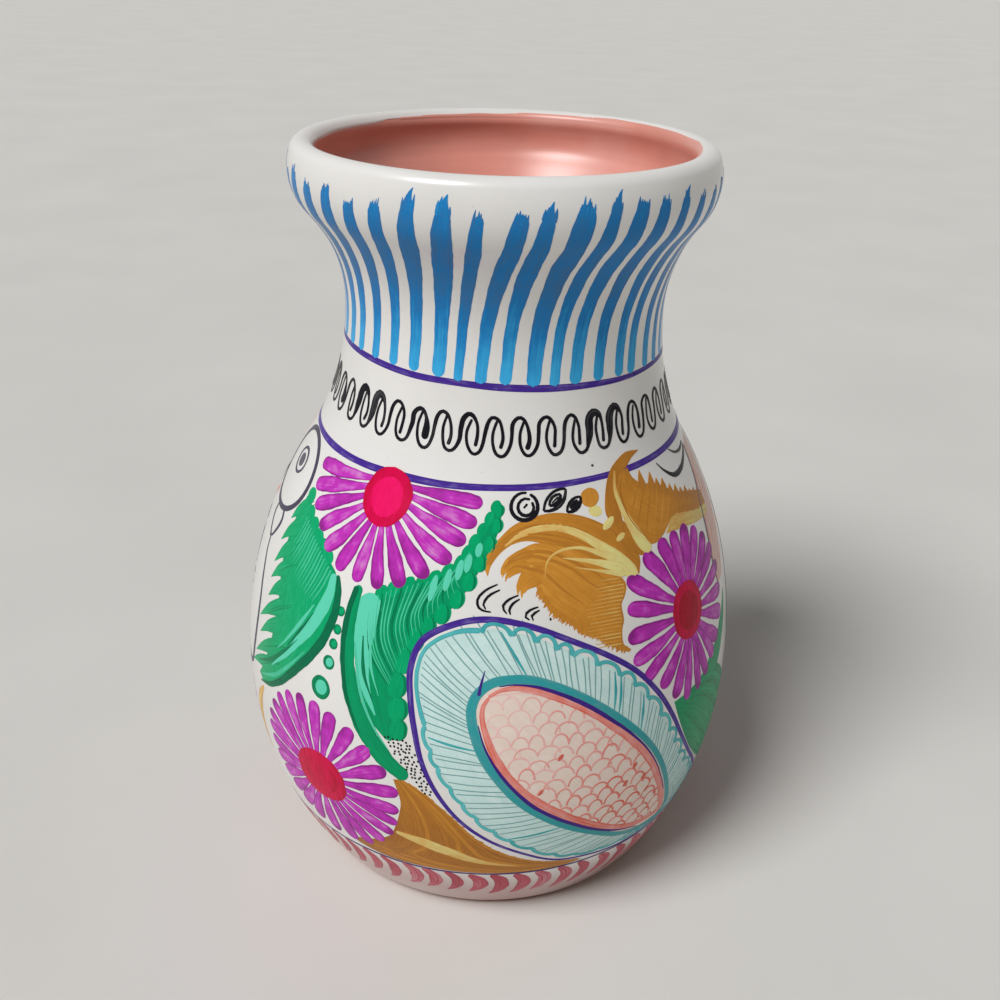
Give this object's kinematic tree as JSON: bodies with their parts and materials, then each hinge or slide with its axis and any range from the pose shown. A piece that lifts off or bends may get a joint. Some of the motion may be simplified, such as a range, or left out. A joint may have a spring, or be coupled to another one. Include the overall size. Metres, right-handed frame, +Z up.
{
  "type": "mexican olla",
  "caption": "Round-bellied earthenware jar with a waisted neck, a flared rolled rim, white slip outside and a terracotta inside, for water, flowers or display.",
  "frame": {"origin": "centre of the base, on the floor", "axes": "+Z up along the jar's axis; the pictured side faces -Y, with +X to its right"},
  "size_m": [0.1388, 0.1388, 0.2],
  "materials": {
    "clay": "matte fired earthenware",
    "joint_slip": "matte fired slip",
    "white_slip": "white slip under a glossy varnish",
    "terracotta_wash": "terracotta wash under a glossy varnish"
  },
  "bodies": {
    "root": {"base_dish": "clay", "dish_lute": "joint_slip", "lower_belly": "clay", "belly_lute": "joint_slip", "upper_belly": "clay", "upper_belly_lute": "joint_slip", "shoulder": "clay", "shoulder_lute": "joint_slip", "neck": "clay", "neck_lute": "joint_slip", "flare": "clay", "rim_lute": "joint_slip", "rim_roll": "clay", "white_slip": "white_slip", "inner_wash": "terracotta_wash"}
  },
  "joints": []
}
